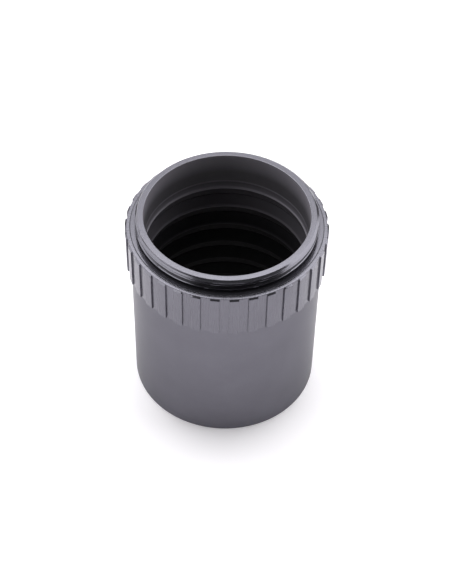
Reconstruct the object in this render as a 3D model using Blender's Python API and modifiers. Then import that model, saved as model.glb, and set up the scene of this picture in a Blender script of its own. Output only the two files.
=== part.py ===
"""Baffled 2 inch nosepiece tube, built as the separate turned pieces that it comes apart into.

Metres, +Z up.  The origin is the middle of the barrel's bottom face, on the optical axis.
Lengths in the constants below are in millimetres, and mm() turns them into metres.
"""

import math

import bmesh
import bpy

# ---------------------------------------------------------------- driving dimensions, millimetres
GAP = 0.3                     # clearance left between two pieces that touch
TOTAL_HEIGHT = 59.4           # bottom face to rim
BORE_RADIUS = 21.77           # clear bore of the nose

THREAD_PITCH = 0.75           # M48 x 0.75 thread of the nose
THREAD_CREST_RADIUS = 23.9
THREAD_ROOT_RADIUS = 23.44
THREAD_TOP_CREST = 58.83      # height of the highest crest
THREAD_CRESTS = 4
RIM_FLAT_RADIUS = 23.3        # outer edge of the flat rim
RELIEF_RADIUS = 22.9          # groove between the thread and the flange

FLANGE_TOP = 55.6
SEAT_RADIUS = 24.1            # a screwed-on accessory bears on the flange outside this radius
SEAT_GROOVE = 0.15            # depth of the thread relief in the flange, inside the seat
FLANGE_RADIUS = 25.05
FLANGE_BOTTOM = 54.0
SKIRT_RADIUS = 23.3           # nose skirt, inside the barrel
SKIRT_BOTTOM = 48.0
COUNTERBORE_RADIUS = 22.5     # in the skirt's lower end, around the first baffle ring's spigot
COUNTERBORE_TOP = 50.0

BARREL_RADIUS = 25.4          # 2 inch barrel
BARREL_SHOULDER = 42.5        # the barrel is turned down above this height, under the collar
BARREL_NECK_RADIUS = 25.05
BARREL_TOP = FLANGE_BOTTOM - GAP
BARREL_BORE_RADIUS = 23.6
BARREL_EDGE = 0.25            # chamfer on the barrel's bottom edge
FILTER_THREAD_RADIUS = 24.0   # roots of the female M48 x 0.75 thread at the bottom
FILTER_THREAD_LENGTH = 8.6
FILTER_MOUTH_RADIUS = 24.3

COLLAR_BOTTOM = BARREL_SHOULDER + GAP
COLLAR_TOP = 55.5             # just below the flange's top, so that the thread seat stands proud
RIB_CHAMFER_FOOT = 55.0       # the ribs are chamfered from the top down to here
COLLAR_BORE_RADIUS = BARREL_NECK_RADIUS + GAP
COLLAR_MOUTH_RADIUS = 25.5    # the bore's lower edge is broken, so the stop face clears the barrel
FLUTE_RADIUS = 26.28          # floor of the flutes
RIB_RADIUS = 26.70
RIB_COUNT = 34
RIB_SHARE = 0.5               # part of the pitch that a rib takes
FIRST_FLUTE_ANGLE = -0.45     # degrees from the front (-Y) towards +X

BAFFLE_COUNT = 6
BAFFLE_TOP_EDGE = 47.4        # height of the highest knife edge
BAFFLE_PITCH = 7.0
BAFFLE_EDGE_RADIUS = 21.6
BAFFLE_SKIRT_RADIUS = 22.8    # inside of a ring's skirt
BAFFLE_RADIUS = 23.3          # outside of a ring
BAFFLE_EDGE_LAND = 0.15       # half height of the blunt edge
BAFFLE_RISE = 3.6             # from the edge up to the ring's top face
BAFFLE_DROP = 3.1             # from the edge down to the skirt's bottom face
SPIGOT_RADIUS = 22.2          # first ring only: outside of the spigot in the nose
SPIGOT_TOP = COUNTERBORE_TOP - GAP

RETAINER_TOP = 9.0
RETAINER_BOTTOM = 6.0
RETAINER_BORE_RADIUS = 21.6
SPANNER_SLOT_WIDTH = 2.0
SPANNER_SLOT_DEPTH = 1.5

BARREL_STEPS = 72             # facets around a large turned piece
RING_STEPS = 56               # facets around a baffle ring

MODEL_NAME = "baffled_nosepiece_tube"


def mm(length):
    """Millimetres to metres."""
    return length * 0.001


# ---------------------------------------------------------------- scene, collections, materials
def clear_scene():
    for old in list(bpy.data.objects):
        bpy.data.objects.remove(old, do_unlink=True)


def new_collection(name):
    made = bpy.data.collections.new(name)
    bpy.context.scene.collection.children.link(made)
    return made


def new_material(name, colour, roughness, metallic):
    made = bpy.data.materials.new(name)
    made.use_nodes = True
    shader = made.node_tree.nodes["Principled BSDF"]
    shader.inputs["Base Color"].default_value = (*colour, 1.0)
    shader.inputs["Roughness"].default_value = roughness
    shader.inputs["Metallic"].default_value = metallic
    return made


def shade_smooth(mesh):
    """Smooth shading, with edges over 30 degrees left sharp."""
    mesh.shade_smooth()
    mesh.set_sharp_from_angle(angle=math.radians(30.0))


# ---------------------------------------------------------------- turned pieces
def turned_piece(name, outline, steps, collection, material):
    """Turns a closed outline of (radius, height) points, in millimetres, about the Z axis.

    The outline runs down its outer side first, and back up its inner side.
    """
    mesh = bpy.data.meshes.new(name)
    build = bmesh.new()
    corners = [build.verts.new((mm(radius), 0.0, mm(height))) for radius, height in outline]
    for first, second in zip(corners, corners[1:] + corners[:1]):
        build.edges.new((first, second))
    build.to_mesh(mesh)
    build.free()
    piece = bpy.data.objects.new(name, mesh)
    collection.objects.link(piece)
    screw = piece.modifiers.new("turned", "SCREW")
    screw.axis = "Z"
    screw.angle = math.tau
    screw.steps = steps
    screw.render_steps = steps
    screw.use_merge_vertices = True
    screw.merge_threshold = 0.00001
    screw.use_smooth_shade = True
    piece.data.materials.append(material)
    return piece


def ridge_outline(top_crest, count, crest_radius, root_radius):
    """Points of evenly spaced thread ridges, from the top down."""
    points = []
    for turn in range(count):
        crest = top_crest - turn * THREAD_PITCH
        points.append((crest_radius, crest + THREAD_PITCH * 0.08))
        points.append((crest_radius, crest - THREAD_PITCH * 0.08))
        points.append((root_radius, crest - THREAD_PITCH * 0.5))
    return points


def make_nose(collection, material):
    crests = ridge_outline(THREAD_TOP_CREST, THREAD_CRESTS, THREAD_CREST_RADIUS, THREAD_ROOT_RADIUS)
    outline = [(RIM_FLAT_RADIUS, TOTAL_HEIGHT)]
    outline += crests
    outline += [
        (RELIEF_RADIUS, FLANGE_TOP + 0.5),
        (RELIEF_RADIUS, FLANGE_TOP - SEAT_GROOVE),
        (SEAT_RADIUS, FLANGE_TOP - SEAT_GROOVE),
        (SEAT_RADIUS, FLANGE_TOP),
        (FLANGE_RADIUS, FLANGE_TOP),
        (FLANGE_RADIUS, FLANGE_BOTTOM),
        (SKIRT_RADIUS, FLANGE_BOTTOM),
        (SKIRT_RADIUS, SKIRT_BOTTOM),
        (COUNTERBORE_RADIUS, SKIRT_BOTTOM),
        (COUNTERBORE_RADIUS, COUNTERBORE_TOP),
        (BORE_RADIUS, COUNTERBORE_TOP),
        (BORE_RADIUS, TOTAL_HEIGHT),
    ]
    return turned_piece("threaded_nose", outline, BARREL_STEPS, collection, material)


def make_barrel(collection, material):
    outline = [
        (BARREL_NECK_RADIUS, BARREL_TOP),
        (BARREL_NECK_RADIUS, BARREL_SHOULDER),
        (BARREL_RADIUS, BARREL_SHOULDER),
        (BARREL_RADIUS, BARREL_EDGE),
        (BARREL_RADIUS - BARREL_EDGE, 0.0),
        (FILTER_MOUTH_RADIUS, 0.0),
        (FILTER_THREAD_RADIUS, 0.4),
        (FILTER_THREAD_RADIUS, FILTER_THREAD_LENGTH),
        (BARREL_BORE_RADIUS, FILTER_THREAD_LENGTH + 0.4),
        (BARREL_BORE_RADIUS, BARREL_TOP),
    ]
    return turned_piece("barrel", outline, BARREL_STEPS, collection, material)


def make_first_baffle(collection, material):
    edge = BAFFLE_TOP_EDGE
    outline = [
        (SPIGOT_RADIUS, SPIGOT_TOP),
        (SPIGOT_RADIUS, SKIRT_BOTTOM - GAP),
        (BAFFLE_RADIUS, SKIRT_BOTTOM - GAP),
        (BAFFLE_RADIUS, edge - BAFFLE_DROP),
        (BAFFLE_SKIRT_RADIUS, edge - BAFFLE_DROP),
        (BAFFLE_SKIRT_RADIUS, edge - 0.35),
        (BAFFLE_EDGE_RADIUS, edge - BAFFLE_EDGE_LAND),
        (BAFFLE_EDGE_RADIUS, edge + BAFFLE_EDGE_LAND),
        (BORE_RADIUS, edge + BAFFLE_EDGE_LAND + 0.2),
        (BORE_RADIUS, SPIGOT_TOP),
    ]
    return turned_piece("baffle_ring_1", outline, RING_STEPS, collection, material)


def make_baffle(number, collection, material):
    edge = BAFFLE_TOP_EDGE - (number - 1) * BAFFLE_PITCH
    outline = [
        (BAFFLE_RADIUS, edge + BAFFLE_RISE),
        (BAFFLE_RADIUS, edge - BAFFLE_DROP),
        (BAFFLE_SKIRT_RADIUS, edge - BAFFLE_DROP),
        (BAFFLE_SKIRT_RADIUS, edge - 0.35),
        (BAFFLE_EDGE_RADIUS, edge - BAFFLE_EDGE_LAND),
        (BAFFLE_EDGE_RADIUS, edge + BAFFLE_EDGE_LAND),
        (BAFFLE_SKIRT_RADIUS, edge + BAFFLE_RISE),
    ]
    return turned_piece(f"baffle_ring_{number}", outline, RING_STEPS, collection, material)


def make_retainer(collection, cutters, material):
    outline = [
        (BAFFLE_RADIUS, RETAINER_TOP),
        (BAFFLE_RADIUS, RETAINER_BOTTOM),
        (RETAINER_BORE_RADIUS, RETAINER_BOTTOM),
        (RETAINER_BORE_RADIUS, RETAINER_TOP),
    ]
    ring = turned_piece("retaining_ring", outline, RING_STEPS, collection, material)
    bpy.ops.mesh.primitive_cube_add(size=1.0)
    slot = bpy.context.object
    slot.name = "spanner_slot_cutter"
    for owner in list(slot.users_collection):
        owner.objects.unlink(slot)
    cutters.objects.link(slot)
    slot.scale = (mm(4.0 * BAFFLE_RADIUS), mm(SPANNER_SLOT_WIDTH), mm(2.0 * SPANNER_SLOT_DEPTH))
    slot.location = (0.0, 0.0, mm(RETAINER_BOTTOM))
    slot.hide_render = True
    slot.display_type = "WIRE"
    cut = ring.modifiers.new("spanner_slots", "BOOLEAN")
    cut.operation = "DIFFERENCE"
    cut.solver = "EXACT"
    cut.object = slot
    return ring


# ---------------------------------------------------------------- the ribbed collar
def collar_section():
    """Angles and radii around the ribbed part, one entry a corner, from the front (-Y) towards +X."""
    pitch = math.tau / RIB_COUNT
    rib = pitch * RIB_SHARE
    start = math.radians(FIRST_FLUTE_ANGLE) + (pitch - rib) * 0.5
    section = []
    for number in range(RIB_COUNT):
        left = start + number * pitch
        section.append((left, FLUTE_RADIUS))
        section.append((left, RIB_RADIUS))
        section.append((left + rib * 0.5, RIB_RADIUS))
        section.append((left + rib, RIB_RADIUS))
        section.append((left + rib, FLUTE_RADIUS))
        section.append((left + (pitch + rib) * 0.5, FLUTE_RADIUS))
    return section


def ring_of_points(build, section, height):
    points = []
    for angle, radius in section:
        across = mm(radius) * math.sin(angle)
        along = -mm(radius) * math.cos(angle)
        points.append(build.verts.new((across, along, mm(height))))
    return points


def make_collar(collection, material):
    """A sleeve with the ribs standing on it, lofted between rings of matching points."""
    ribs = collar_section()
    top = [(angle, FLUTE_RADIUS) for angle, _ in ribs]
    bore = [(angle, COLLAR_BORE_RADIUS) for angle, _ in ribs]
    mouth = [(angle, COLLAR_MOUTH_RADIUS) for angle, _ in ribs]
    chamfer = COLLAR_MOUTH_RADIUS - COLLAR_BORE_RADIUS
    mesh = bpy.data.meshes.new("grip_collar")
    build = bmesh.new()
    rings = [
        ring_of_points(build, bore, COLLAR_TOP),
        ring_of_points(build, top, COLLAR_TOP),
        ring_of_points(build, ribs, RIB_CHAMFER_FOOT),
        ring_of_points(build, ribs, COLLAR_BOTTOM),
        ring_of_points(build, mouth, COLLAR_BOTTOM),
        ring_of_points(build, bore, COLLAR_BOTTOM + chamfer),
    ]
    for upper, lower in zip(rings, rings[1:] + rings[:1]):
        for place in range(len(ribs)):
            beside = (place + 1) % len(ribs)
            build.faces.new((upper[place], lower[place], lower[beside], upper[beside]))
    bmesh.ops.remove_doubles(build, verts=build.verts, dist=0.000001)
    bmesh.ops.recalc_face_normals(build, faces=build.faces)
    build.to_mesh(mesh)
    build.free()
    shade_smooth(mesh)
    mesh.materials.append(material)
    collar = bpy.data.objects.new("grip_collar", mesh)
    collection.objects.link(collar)
    return collar


# ---------------------------------------------------------------- the whole object
def build_model():
    clear_scene()
    parts = new_collection(MODEL_NAME)
    cutters = new_collection("cutters")
    anodised = {
        "barrel": new_material("barrel_anodised", (0.165, 0.158, 0.178), 0.42, 0.85),
        "collar": new_material("collar_anodised", (0.160, 0.153, 0.172), 0.40, 0.85),
        "nose": new_material("nose_anodised", (0.150, 0.145, 0.160), 0.34, 0.85),
        "retainer": new_material("retainer_anodised", (0.060, 0.058, 0.062), 0.45, 0.80),
    }
    flat_black = new_material("baffle_black", (0.030, 0.029, 0.032), 0.60, 0.30)

    make_barrel(parts, anodised["barrel"])
    make_collar(parts, anodised["collar"])
    make_nose(parts, anodised["nose"])
    make_first_baffle(parts, flat_black)
    for number in range(2, BAFFLE_COUNT + 1):
        make_baffle(number, parts, flat_black)
    make_retainer(parts, cutters, anodised["retainer"])


build_model()
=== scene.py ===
"""Looks of the baffled nosepiece tube: turned, milled and anodised surfaces around the fixed frame.

Lengths are in millimetres in the profiles, and mm() turns them into metres.
"""

import math

import bmesh
import bpy
from mathutils import Matrix, Vector


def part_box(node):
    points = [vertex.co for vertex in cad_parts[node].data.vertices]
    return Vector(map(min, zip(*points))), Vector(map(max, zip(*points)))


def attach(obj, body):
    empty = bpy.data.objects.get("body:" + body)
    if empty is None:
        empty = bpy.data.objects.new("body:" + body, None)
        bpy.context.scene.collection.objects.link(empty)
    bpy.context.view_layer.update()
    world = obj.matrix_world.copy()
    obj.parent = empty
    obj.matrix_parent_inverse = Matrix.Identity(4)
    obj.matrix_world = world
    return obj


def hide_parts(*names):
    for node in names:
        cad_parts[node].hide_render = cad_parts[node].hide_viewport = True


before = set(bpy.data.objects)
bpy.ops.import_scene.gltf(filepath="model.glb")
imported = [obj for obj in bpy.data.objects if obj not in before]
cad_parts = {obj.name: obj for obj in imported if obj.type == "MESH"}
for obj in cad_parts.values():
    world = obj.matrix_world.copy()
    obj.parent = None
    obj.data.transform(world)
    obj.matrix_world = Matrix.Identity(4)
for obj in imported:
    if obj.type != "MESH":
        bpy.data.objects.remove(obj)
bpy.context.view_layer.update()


def mm(length):
    return length * 0.001


def box_mm(node):
    """A node's lowest and highest corners, in millimetres."""
    low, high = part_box(node)
    return [value * 1000.0 for value in low], [value * 1000.0 for value in high]


# ---------------------------------------------------------------- sizes, millimetres
NOSE_LOW, NOSE_HIGH = box_mm("threaded_nose")
BARREL_HIGH = box_mm("barrel")[1]
COLLAR_LOW, COLLAR_HIGH = box_mm("grip_collar")
RETAINER_LOW, RETAINER_HIGH = box_mm("retaining_ring")
BAFFLE_BOXES = {number: box_mm(f"baffle_ring_{number}") for number in range(1, 7)}

TOP = NOSE_HIGH[2]
BORE = 21.77
PITCH = 0.75                       # M48 x 0.75
CREST = 23.9
THREAD_DEPTH = 0.46
THREAD_FLAT = 0.12                 # share of half a pitch that the flat crest takes
THREAD_FLANK = 0.80                # and that the flank takes
THREAD_ROOT_POWER = 1.25           # rounds the root
THREAD_FROM = TOP - 3.12           # the lowest crest starts here
THREAD_TO = TOP - 0.42             # and the highest one ends here
RIM_FLAT = 23.3
RELIEF = 22.9
FLANGE_TOP = TOP - 3.8
FLANGE = NOSE_HIGH[0] + 0.22       # drawn out, to leave a seam of 0.08 mm to the collar
FLANGE_LOW = FLANGE_TOP - 1.6
SEAT = 24.1                        # the flange is relieved inside this radius
SEAT_GROOVE = 0.15
SKIRT = 23.3
SKIRT_CREST = SKIRT + 0.1          # the hidden thread that holds the nose
SKIRT_THREAD_DEPTH = 0.34
SKIRT_LOW = NOSE_LOW[2]
COUNTERBORE = 22.5
COUNTERBORE_TOP = SKIRT_LOW + 2.0
BORE_EDGE = 0.12                   # fillet at the rim
SHADED_ROOTS_LOW = FLANGE_TOP + 0.6  # painted shade: the lower thread roots are coloured near-black between these heights
SHADED_ROOTS_HIGH = TOP - 1.45
SHADED_BAND_LOW = TOP - 2.22       # and painted shade colours the thread near-black from root to crest between these
SHADED_BAND_HIGH = TOP - 1.70

BARREL = BARREL_HIGH[0]
NECK = 25.05
SHOULDER = COLLAR_LOW[2] - 0.02    # the real faces touch, and the CAD's gap is nearly closed here
BARREL_TOP = BARREL_HIGH[2]
BARREL_BORE = 23.6
FILTER_ROOT = 24.0
FILTER_THREAD_DEPTH = 0.38
FILTER_THREAD_FROM = 0.4
FILTER_THREAD_TO = 8.6

COLLAR_BORE = 25.35
FLUTE = 26.28
RIB = 26.70
COLLAR_TOP = COLLAR_HIGH[2]
RIB_FOOT = COLLAR_TOP - 0.5        # the ribs are chamfered from the top down to here
RIBS = 34
RIB_EDGE = 0.09                    # chamfer along the upright edges of a rib
FIRST_FLUTE = math.radians(-0.45)  # from the front (-Y) towards +X

EDGE_RADIUS = 21.6
EDGE_UP = 3.1                      # a baffle's edge above its lower end
SLIP = 0.04                        # drawn gap between the first baffle and the nose
SLOT_WIDTH = 2.0                   # the retainer's spanner slots
SLOT_DEPTH = 1.5
BAFFLE_SKIRT = 22.8
BAFFLE_OUT = 23.3

ROUND = 288                        # facets around the large pieces
SMALL_ROUND = 192                  # facets around the baffles and the retainer
FILLET_STEP = math.radians(24.0)
SAME_PLACE = 0.0000005             # metres


# ---------------------------------------------------------------- outlines
def nominal(corner):
    """A corner's radius and height as a point; a threaded row's radius is read at angle 0."""
    radius = corner[0](0.0) if callable(corner[0]) else corner[0]
    return Vector((radius, corner[1]))


def filleted(corners):
    """Rounds a closed outline.  A corner is (radius, height) or (radius, height, fillet)."""
    outline = []
    count = len(corners)
    for place, corner in enumerate(corners):
        fillet = corner[2] if len(corner) > 2 else 0.0
        if fillet <= 0.0:
            outline.append(tuple(corner[:2]))
            continue
        here = nominal(corner)
        before = (nominal(corners[place - 1]) - here).normalized()
        after = (nominal(corners[(place + 1) % count]) - here).normalized()
        half = before.angle(after) * 0.5
        centre = here + (before + after).normalized() * (fillet / math.sin(half))
        start = here + before * (fillet / math.tan(half)) - centre
        end = here + after * (fillet / math.tan(half)) - centre
        turn = math.atan2(start.x * end.y - start.y * end.x, start.dot(end))
        segments = max(2, round(abs(turn) / FILLET_STEP))
        for step in range(segments + 1):
            angle = turn * step / segments
            across = start.x * math.cos(angle) - start.y * math.sin(angle)
            upward = start.x * math.sin(angle) + start.y * math.cos(angle)
            outline.append((centre.x + across, centre.y + upward))
    return outline


def thread_profile(phase):
    """Depth below the crest, from 0 to 1, of a 60 degree thread with a flat crest and a round root."""
    phase = abs((phase % 1.0) - 0.5) * 2.0
    depth = min(1.0, max(0.0, (phase - THREAD_FLAT) / THREAD_FLANK))
    return 1.0 - (1.0 - depth) ** THREAD_ROOT_POWER


def threaded_rows(crest, depth, low, high, sign=1.0, rows_a_turn=12):
    """Rows of a right-handed thread, from high to low, for turned().

    Each is (function of angle giving the radius, height).  A sign of -1 is a thread in a bore.
    """
    count = int(round((high - low) / PITCH * rows_a_turn))
    rows = []
    for row in range(count + 1):
        height = high - (high - low) * row / count

        def radius(angle, height=height):
            phase = height / PITCH - angle / math.tau
            return crest - sign * depth * thread_profile(phase)

        rows.append((radius, height))
    return rows


# ---------------------------------------------------------------- meshes
def in_scene(name, data):
    made = bpy.data.objects.new(name, data)
    bpy.context.scene.collection.objects.link(made)
    return made


def finished(name, build, node, body, materials, sharp=32.0):
    """Makes the object that stands for a CAD node, with smooth shading between sharp edges."""
    bmesh.ops.recalc_face_normals(build, faces=build.faces)
    mesh = bpy.data.meshes.new(name)
    build.to_mesh(mesh)
    build.free()
    for material in materials:
        mesh.materials.append(material)
    mesh.shade_smooth()
    mesh.set_sharp_from_angle(angle=math.radians(sharp))
    piece = in_scene(name, mesh)
    weighted = piece.modifiers.new("face_weighted_normals", "WEIGHTED_NORMAL")
    weighted.keep_sharp = True
    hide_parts(node)
    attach(piece, body)
    return piece


def join_rings(build, rings):
    """Joins each ring of vertices to the next, and the last to the first."""
    for upper, lower in zip(rings, rings[1:] + rings[:1]):
        for place in range(len(upper)):
            beside = (place + 1) % len(upper)
            build.faces.new((upper[place], lower[place], lower[beside], upper[beside]))


def turned(rows, steps):
    """A bmesh turned from rows of (radius or function of angle, height), closed into a ring."""
    build = bmesh.new()
    rings = []
    for radius, height in rows:
        ring = []
        for step in range(steps):
            angle = math.tau * step / steps
            reach = radius(angle) if callable(radius) else radius
            across, along = mm(reach) * math.cos(angle), mm(reach) * math.sin(angle)
            ring.append(build.verts.new((across, along, mm(height))))
        rings.append(ring)
    join_rings(build, rings)
    return build


def set_material_where(build, test, index):
    """Gives material number index to the faces whose middle passes test(radius, height) in mm."""
    build.faces.ensure_lookup_table()
    for face in build.faces:
        middle = face.calc_center_median()
        radius = math.hypot(middle.x, middle.y) * 1000.0
        if test(radius, middle.z * 1000.0):
            face.material_index = index


# ---------------------------------------------------------------- materials
ARC_RADIUS = 25.0                  # arc lengths are measured at this radius
BUMP_DISTANCE = 0.00002            # metres
MARKS_SHARE = 0.55                 # of a colour's variation; the rest is a soft cloud
CLOUD_FINENESS = 0.12              # per millimetre
METALLIC = 0.85
BLACK_TINT = (1.03, 0.975, 1.11)   # the black is a little violet


class Graph:
    """A short way to write a material's node tree."""

    def __init__(self, name):
        self.material = bpy.data.materials.new(name)
        self.material.use_nodes = True
        self.tree = self.material.node_tree
        self.shader = self.tree.nodes["Principled BSDF"]

    def node(self, kind, settings=None, **inputs):
        made = self.tree.nodes.new(kind)
        for key, value in (settings or {}).items():
            setattr(made, key, value)
        for key, value in inputs.items():
            self.feed(made.inputs[key.replace("_", " ")], value)
        return made

    def feed(self, socket, value):
        if isinstance(value, bpy.types.NodeSocket):
            self.tree.links.new(value, socket)
        else:
            socket.default_value = value

    def maths(self, operation, first, second=0.0):
        made = self.tree.nodes.new("ShaderNodeMath")
        made.operation = operation
        self.feed(made.inputs[0], first)
        self.feed(made.inputs[1], second)
        return made.outputs[0]

    def cylinder(self):
        """Radius, arc length and height of the shaded point in its piece, all in millimetres."""
        point = self.node("ShaderNodeTexCoord").outputs["Object"]
        apart = self.node("ShaderNodeSeparateXYZ", Vector=point)
        across, along, up = apart.outputs
        across_squared = self.maths("MULTIPLY", across, across)
        squares = self.maths("ADD", across_squared, self.maths("MULTIPLY", along, along))
        radius = self.maths("MULTIPLY", self.maths("SQRT", squares), 1000.0)
        arc = self.maths("MULTIPLY", self.maths("ARCTAN2", along, across), ARC_RADIUS)
        return radius, arc, self.maths("MULTIPLY", up, 1000.0)

    def noise(self, first, second, third, detail=2.0, roughness=0.5):
        place = self.node("ShaderNodeCombineXYZ", X=first, Y=second, Z=third).outputs[0]
        made = self.node("ShaderNodeTexNoise", Vector=place, Scale=1.0, Detail=detail, Roughness=roughness)
        return made.outputs["Fac"]

    def spread(self, value, low, high, to_low, to_high):
        made = self.tree.nodes.new("ShaderNodeMapRange")
        self.feed(made.inputs["Value"], value)
        for key, number in zip(("From Min", "From Max", "To Min", "To Max"), (low, high, to_low, to_high)):
            made.inputs[key].default_value = number
        return made.outputs["Result"]

    def blend(self, factor, first, second):
        made = self.node("ShaderNodeMix", {"data_type": "RGBA"})
        self.feed(made.inputs[0], factor)
        made.inputs[6].default_value = (*first, 1.0)
        made.inputs[7].default_value = (*second, 1.0)
        return made.outputs[2]

    def roughen(self, marks, roughness):
        """Roughness that varies a little around its value with the tool marks."""
        rough = self.spread(marks, 0.25, 0.75, roughness * 0.88, roughness * 1.14)
        self.feed(self.shader.inputs["Roughness"], rough)

    def bump(self, height, strength):
        made = self.node("ShaderNodeBump", Height=height, Strength=strength, Distance=BUMP_DISTANCE)
        self.feed(self.shader.inputs["Normal"], made.outputs["Normal"])


def anodised(name, dark, light, roughness, marks, strength, edge_tint=1.0):
    """Anodised aluminium.  marks(graph, radius, arc, height) gives the tool marks, from 0 to 1.

    strength is the marks' bump, and edge_tint dulls the reflection at a grazing angle.
    """
    graph = Graph(name)
    radius, arc, height = graph.cylinder()
    tooling = marks(graph, radius, arc, height)
    cloud = graph.noise(
        graph.maths("MULTIPLY", radius, CLOUD_FINENESS),
        graph.maths("MULTIPLY", arc, CLOUD_FINENESS),
        graph.maths("MULTIPLY", height, CLOUD_FINENESS),
        detail=3.0,
    )
    tooling_part = graph.maths("MULTIPLY", tooling, MARKS_SHARE)
    cloud_part = graph.maths("MULTIPLY", cloud, 1.0 - MARKS_SHARE)
    mixed = graph.maths("ADD", tooling_part, cloud_part)
    colour = graph.blend(graph.spread(mixed, 0.3, 0.7, 0.0, 1.0), dark, light)
    graph.feed(graph.shader.inputs["Base Color"], colour)
    graph.roughen(tooling, roughness)
    graph.shader.inputs["Metallic"].default_value = METALLIC
    graph.shader.inputs["Specular Tint"].default_value = (edge_tint, edge_tint, edge_tint, 1.0)
    graph.bump(tooling, strength)
    return graph.material


def black_with_painted_light(name, tones, roughness, specular, marks, strength):
    """Matt black anodising.  tones lists (height in mm, grey), from the deepest place upwards.

    The greys are painted shade, to darken the bore downwards more than its shadows do, and the lighter
    greys at the ring edges, a seam and the rim are painted highlights.
    """
    graph = Graph(name)
    radius, arc, height = graph.cylinder()
    tooling = marks(graph, radius, arc, height)
    ramp = graph.node("ShaderNodeValToRGB")
    low, high = tones[0][0], tones[-1][0]
    graph.feed(ramp.inputs["Fac"], graph.spread(height, low, high, 0.0, 1.0))
    stops = ramp.color_ramp.elements
    while len(stops) < len(tones):
        stops.new(0.5)
    for stop, (level, grey) in zip(stops, tones):
        stop.position = (level - low) / (high - low)
        stop.color = (*(grey * tint for tint in BLACK_TINT), 1.0)
    graph.feed(graph.shader.inputs["Base Color"], ramp.outputs["Color"])
    graph.roughen(tooling, roughness)
    graph.shader.inputs["Specular IOR Level"].default_value = specular
    graph.bump(tooling, strength)
    return graph.material


def blasted_marks(graph, radius, arc, height):
    """Fine grain of a matt, lightly blasted tube, with faint turning lines under it."""
    grain = graph.noise(
        graph.maths("MULTIPLY", radius, 3.2),
        graph.maths("MULTIPLY", arc, 3.2),
        graph.maths("MULTIPLY", height, 3.6),
        detail=3.0,
        roughness=0.65,
    )
    lines = graph.noise(0.0, graph.maths("MULTIPLY", arc, 0.04), graph.maths("MULTIPLY", height, 5.0))
    return graph.maths("ADD", graph.maths("MULTIPLY", grain, 0.75), graph.maths("MULTIPLY", lines, 0.25))


def milled_marks(graph, radius, arc, height):
    """Upright lines left by the cutter that made the flutes."""
    return graph.noise(
        graph.maths("MULTIPLY", arc, 7.0),
        0.0,
        graph.maths("MULTIPLY", height, 0.10),
        detail=3.0,
        roughness=0.6,
    )


def turned_marks(graph, radius, arc, height):
    """Fine rings left by the lathe on flat and round faces alike."""
    return graph.noise(
        graph.maths("MULTIPLY", radius, 9.0),
        graph.maths("MULTIPLY", arc, 0.05),
        graph.maths("MULTIPLY", height, 6.0),
        detail=3.0,
        roughness=0.6,
    )


# ---------------------------------------------------------------- pieces
def make_nose(outside, inside, root_shade):
    """The threaded ring; its third skin is near-black painted shade on the lower thread roots and on one
    band of the thread.
    """
    rows = filleted([
        (RIM_FLAT, TOP, 0.06),
        *threaded_rows(CREST, THREAD_DEPTH, THREAD_FROM, THREAD_TO),
        (CREST - THREAD_DEPTH, THREAD_FROM - 0.06),
        (RELIEF, FLANGE_TOP + 0.42, 0.05),
        (RELIEF, FLANGE_TOP - SEAT_GROOVE, 0.08),
        (SEAT, FLANGE_TOP - SEAT_GROOVE),
        (SEAT, FLANGE_TOP, 0.03),
        (FLANGE, FLANGE_TOP, 0.05),
        (FLANGE, FLANGE_LOW, 0.10),
        (SKIRT_CREST, FLANGE_LOW),
        *threaded_rows(SKIRT_CREST, SKIRT_THREAD_DEPTH, SKIRT_LOW + 0.3, FLANGE_LOW - 0.2, rows_a_turn=8),
        (SKIRT - 0.3, SKIRT_LOW),
        (COUNTERBORE, SKIRT_LOW),
        (COUNTERBORE, COUNTERBORE_TOP),
        (BORE, COUNTERBORE_TOP, 0.03),
        (BORE, TOP, BORE_EDGE),
    ])
    middle_of_flank = CREST - THREAD_DEPTH * 0.45

    def in_bore(radius, height):
        in_counterbore = height < COUNTERBORE_TOP and radius < COUNTERBORE + 0.1
        return radius < BORE + 0.03 or in_counterbore

    def in_shaded_root(radius, height):
        return RELIEF + 0.2 < radius < middle_of_flank and SHADED_ROOTS_LOW < height < SHADED_ROOTS_HIGH

    def in_shaded_band(radius, height):
        return RELIEF + 0.2 < radius < CREST + 0.1 and SHADED_BAND_LOW < height < SHADED_BAND_HIGH

    build = turned(rows, ROUND)
    set_material_where(build, in_bore, 1)
    # painted shade in the lower thread roots and in one band of the thread
    set_material_where(build, in_shaded_root, 2)
    set_material_where(build, in_shaded_band, 2)
    skins = [outside, inside, root_shade]
    return finished("threaded_nose_turned", build, "threaded_nose", "nose", skins, 38.0)


def make_barrel(outside, inside):
    """The plain tube, with its neck under the collar and the filter thread at the bottom."""
    inner = threaded_rows(
        BARREL_BORE, FILTER_THREAD_DEPTH, FILTER_THREAD_FROM, FILTER_THREAD_TO, sign=-1.0, rows_a_turn=8
    )
    rows = filleted([
        (BARREL_BORE, BARREL_TOP),
        (NECK, BARREL_TOP, 0.15),
        (NECK, SHOULDER),
        (BARREL, SHOULDER, 0.05),
        (BARREL, 0.0, 0.22),
        (FILTER_ROOT + 0.3, 0.0, 0.1),
        (FILTER_ROOT, 0.3),
        *reversed(inner),
    ])
    build = turned(rows, ROUND)
    set_material_where(build, lambda radius, height: radius < BARREL_BORE + 0.45 and height > 0.35, 1)
    return finished("barrel_tube", build, "barrel", "barrel_body", [outside, inside])


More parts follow.
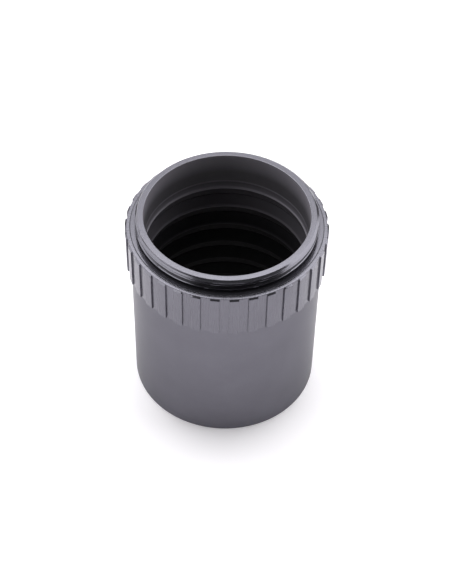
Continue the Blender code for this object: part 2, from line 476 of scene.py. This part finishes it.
def collar_outline():
    """(angle, 0 in a flute to 1 on a rib) around the collar; the ribs have small chamfers."""
    pitch = math.tau / RIBS
    chamfer = RIB_EDGE / RIB
    flute_points, rib_points = 5, 7
    points = []
    for number in range(RIBS):
        middle = FIRST_FLUTE + number * pitch
        left = middle - pitch * 0.25
        right = middle + pitch * 0.25
        for part in range(flute_points):
            points.append((left + (right - left) * part / (flute_points - 1), 0.0))
        points.append((right + chamfer * 0.15, 0.88))
        for part in range(rib_points):
            across = (pitch * 0.5 - 2.0 * chamfer) * part / (rib_points - 1)
            points.append((right + chamfer + across, 1.0))
        points.append((right + pitch * 0.5 - chamfer * 0.15, 0.88))
    return points


def make_collar(material, top_material):
    """The ribbed sleeve; top_material is the skin of the chamfers on the ribs' upper ends.

    The rows are (radius in a flute, radius on a rib, height), from the bore's top round to its foot.
    """
    outline = collar_outline()
    edge = 0.04
    low = COLLAR_LOW[2]
    rows = [
        (COLLAR_BORE, COLLAR_BORE, COLLAR_TOP - 0.06),
        (COLLAR_BORE + 0.06, COLLAR_BORE + 0.06, COLLAR_TOP),
        (FLUTE - 0.38, FLUTE - 0.38, COLLAR_TOP),
        (FLUTE - 0.12, FLUTE - 0.12, COLLAR_TOP - 0.02),
        (FLUTE - 0.03, FLUTE - 0.03, COLLAR_TOP - 0.08),
        (FLUTE, FLUTE, COLLAR_TOP - 0.15),
        (FLUTE, RIB - 0.02, RIB_FOOT + 0.05),
        (FLUTE, RIB, RIB_FOOT - 0.03),
        (FLUTE, RIB, low + edge),
        (FLUTE - edge, RIB - edge, low),
        (COLLAR_BORE + 0.15, COLLAR_BORE + 0.15, low),
        (COLLAR_BORE, COLLAR_BORE, low + 0.15),
    ]
    build = bmesh.new()
    rings = []
    for in_flute, on_rib, height in rows:
        ring = []
        for angle, share in outline:
            reach = mm(in_flute + (on_rib - in_flute) * share)
            ring.append(build.verts.new((reach * math.sin(angle), -reach * math.cos(angle), mm(height))))
        rings.append(ring)
    join_rings(build, rings)
    bmesh.ops.remove_doubles(build, verts=build.verts, dist=SAME_PLACE)

    def on_rib_chamfer(radius, height):
        return COLLAR_TOP - 0.4 < height < COLLAR_TOP - 0.14 and radius > FLUTE + 0.05

    set_material_where(build, on_rib_chamfer, 1)
    skins = [material, top_material]
    return finished("grip_collar_ribbed", build, "grip_collar", "barrel_body", skins, 28.0)


def make_first_baffle(material):
    """The ring whose spigot sits in the nose's counterbore."""
    low = BAFFLE_BOXES[1][0]
    edge = low[2] + EDGE_UP
    rows = filleted([
        (COUNTERBORE - 0.3, COUNTERBORE_TOP - SLIP),
        (COUNTERBORE - 0.3, SKIRT_LOW - SLIP),
        (BAFFLE_OUT, SKIRT_LOW - SLIP, 0.1),
        (BAFFLE_OUT, low[2], 0.1),
        (BAFFLE_SKIRT, low[2], 0.05),
        (BAFFLE_SKIRT, edge - 0.35, 0.2),
        (EDGE_RADIUS, edge - 0.15, 0.06),
        (EDGE_RADIUS, edge + 0.12, 0.08),
        (BORE, edge + 0.3, 0.15),
        (BORE, COUNTERBORE_TOP - SLIP, 0.03),
    ])
    build = turned(rows, SMALL_ROUND)
    return finished("baffle_ring_1_turned", build, "baffle_ring_1", "front_baffle", [material])


def make_baffle(number, material):
    low, high = BAFFLE_BOXES[number]
    edge = low[2] + EDGE_UP
    rows = filleted([
        (BAFFLE_OUT, high[2], 0.1),
        (BAFFLE_OUT, low[2], 0.1),
        (BAFFLE_SKIRT, low[2], 0.05),
        (BAFFLE_SKIRT, edge - 0.35, 0.2),
        (EDGE_RADIUS, edge - 0.15, 0.06),
        (EDGE_RADIUS, edge + 0.15, 0.08),
        (BAFFLE_SKIRT, high[2], 0.05),
    ])
    build = turned(rows, SMALL_ROUND)
    name = f"baffle_ring_{number}"
    return finished(name + "_turned", build, name, "baffle_stack", [material])


def make_retainer(material):
    """The spanner ring: a turned ring whose underside drops away in two slots."""
    low, high = RETAINER_LOW[2], RETAINER_HIGH[2]
    inner, outer = EDGE_RADIUS, BAFFLE_OUT
    fillet = 0.12
    rows = filleted([
        (outer, high, fillet),
        (outer, low, fillet),
        (inner, low, fillet),
        (inner, high, fillet),
    ])
    build = turned(rows, SMALL_ROUND)
    ring = finished("retaining_ring_turned", build, "retaining_ring", "retainer", [material])
    cutter_mesh = bpy.data.meshes.new("spanner_slot")
    build = bmesh.new()
    bmesh.ops.create_cube(build, size=1.0)
    size = (mm(4.0 * outer), mm(SLOT_WIDTH), mm(2.0 * SLOT_DEPTH))
    bmesh.ops.scale(build, vec=size, verts=build.verts)
    bmesh.ops.translate(build, vec=(0.0, 0.0, mm(low)), verts=build.verts)
    build.to_mesh(cutter_mesh)
    build.free()
    cutter = in_scene("spanner_slot", cutter_mesh)
    cut = ring.modifiers.new("spanner_slots", "BOOLEAN")
    cut.object = cutter
    cut.solver = "EXACT"
    with bpy.context.temp_override(object=ring, active_object=ring):
        bpy.ops.object.modifier_move_to_index(modifier=cut.name, index=0)
        bpy.ops.object.modifier_apply(modifier=cut.name)
    bpy.data.objects.remove(cutter, do_unlink=True)
    return ring


# ---------------------------------------------------------------- stage
CAMERA_PLACE = (mm(0.1), mm(-261.3), mm(324.1))
CAMERA_PITCH = 0.8466              # radians below the horizon
CAMERA_ROLL = 0.0203
CAMERA_LENS = 88.48
FLOOR_GLOW = 0.18                  # helps the floor to burn out to white
FLOOR_DROP = 0.02                  # keeps the floor just clear of the barrel's end
LIGHT_TARGET = (0.0, 0.0, 0.03)    # the middle of the object
WORLD_STRENGTH = 0.05

# name, azimuth, elevation, distance, width, height, radiance
PANELS = [
    ("overhead_panel", 0.0, 76.0, 1.05, 0.75, 0.60, 3.2),
    ("back_panel", 0.0, 64.0, 0.85, 1.1, 0.50, 3.2),
    ("back_strip", 0.0, 41.0, 0.85, 1.1, 0.16, 1.75),
    ("left_panel", -80.0, 42.0, 0.85, 1.15, 0.80, 2.05),
    ("right_panel", 72.0, 34.0, 0.85, 0.85, 0.60, 2.9),
]


def make_camera():
    data = bpy.data.cameras.new("camera")
    data.lens = CAMERA_LENS
    data.sensor_width = 36.0
    data.clip_start = 0.01
    camera = in_scene("camera", data)
    place = Matrix.Translation(CAMERA_PLACE)
    tilt = Matrix.Rotation(math.pi / 2.0 - CAMERA_PITCH, 4, "X")
    roll = Matrix.Rotation(CAMERA_ROLL, 4, "Z")
    camera.matrix_world = place @ tilt @ roll
    bpy.context.scene.camera = camera


def make_floor():
    graph = Graph("floor_white")
    graph.shader.inputs["Base Color"].default_value = (0.90, 0.885, 0.91, 1.0)
    graph.shader.inputs["Roughness"].default_value = 0.55
    graph.shader.inputs["Emission Color"].default_value = (1.0, 0.98, 1.01, 1.0)
    graph.shader.inputs["Emission Strength"].default_value = FLOOR_GLOW
    mesh = bpy.data.meshes.new("floor")
    build = bmesh.new()
    bmesh.ops.create_grid(build, x_segments=1, y_segments=1, size=3.0)
    bmesh.ops.translate(build, vec=(0.0, 0.0, mm(-FLOOR_DROP)), verts=build.verts)
    build.to_mesh(mesh)
    build.free()
    mesh.materials.append(graph.material)
    floor = in_scene("floor", mesh)


def make_world():
    world = bpy.data.worlds.new("studio")
    world.use_nodes = True
    background = world.node_tree.nodes["Background"]
    background.inputs["Color"].default_value = (0.985, 0.975, 1.0, 1.0)
    background.inputs["Strength"].default_value = WORLD_STRENGTH
    bpy.context.scene.world = world


def studio_panel(name, azimuth, elevation, distance, width, height, radiance):
    """A soft rectangular light facing the object; azimuth 0 is behind it (+Y), and 90 is at +X."""
    around, above = math.radians(azimuth), math.radians(elevation)
    level = math.cos(above)
    away = Vector((math.sin(around) * level, math.cos(around) * level, math.sin(above)))
    data = bpy.data.lights.new(name, "AREA")
    data.shape = "RECTANGLE"
    data.size = width
    data.size_y = height
    data.energy = radiance * math.pi * width * height
    light = in_scene(name, data)
    light.location = Vector(LIGHT_TARGET) + away * distance
    light.rotation_euler = away.to_track_quat("Z", "Y").to_euler()


def make_stage():
    make_camera()
    make_floor()
    make_world()
    for panel in PANELS:
        studio_panel(*panel)
    bpy.context.scene.view_settings.view_transform = "Standard"


# ---------------------------------------------------------------- everything
VIOLET_GREY = (0.136, 0.133, 0.155), (0.162, 0.159, 0.184)    # darkest and lightest
# the next greys are painted shade for the thread roots
ROOT_SHADE_GREYS = (0.030, 0.029, 0.034), (0.040, 0.039, 0.045)
BORE_PAINTED_LIGHT = [                     # painted shade, darker downwards; the lighter ones are painted highlights at ring edges, a seam and the rim
    (0.0, 0.006), (32.8, 0.008), (33.2, 0.030), (33.7, 0.030), (34.2, 0.010), (37.5, 0.018),
    (39.8, 0.034), (40.2, 0.120), (40.7, 0.120), (41.3, 0.058), (44.5, 0.066), (46.8, 0.070),
    (47.2, 0.220), (47.8, 0.200), (48.4, 0.115), (49.7, 0.082), (49.9, 0.150), (50.1, 0.150),
    (50.4, 0.062), (53.5, 0.066), (56.0, 0.155), (59.4, 0.250),
]


def main():
    barrel_skin = anodised("barrel_skin", *VIOLET_GREY, 0.34, blasted_marks, 0.25, edge_tint=0.60)
    collar_skin = anodised("collar_skin", *VIOLET_GREY, 0.28, milled_marks, 0.35)
    nose_skin = anodised("nose_skin", *VIOLET_GREY, 0.16, turned_marks, 0.15)
    # the bore and the baffles get painted shade and painted highlights by height
    bore_skin = black_with_painted_light("bore_skin", BORE_PAINTED_LIGHT, 0.50, 0.40, turned_marks, 0.3)
    baffle_skin = black_with_painted_light("baffle_skin", BORE_PAINTED_LIGHT, 0.50, 0.10, turned_marks, 0.3)
    # painted shade for the thread roots
    root_shade_skin = anodised("root_shade_skin", *ROOT_SHADE_GREYS, 0.30, turned_marks, 0.15)
    retainer_skin = anodised("retainer_skin", *VIOLET_GREY, 0.32, turned_marks, 0.3)
    make_barrel(barrel_skin, bore_skin)
    make_collar(collar_skin, nose_skin)
    make_nose(nose_skin, bore_skin, root_shade_skin)
    make_first_baffle(baffle_skin)
    for number in range(2, 7):
        make_baffle(number, baffle_skin)
    make_retainer(retainer_skin)
    make_stage()


main()
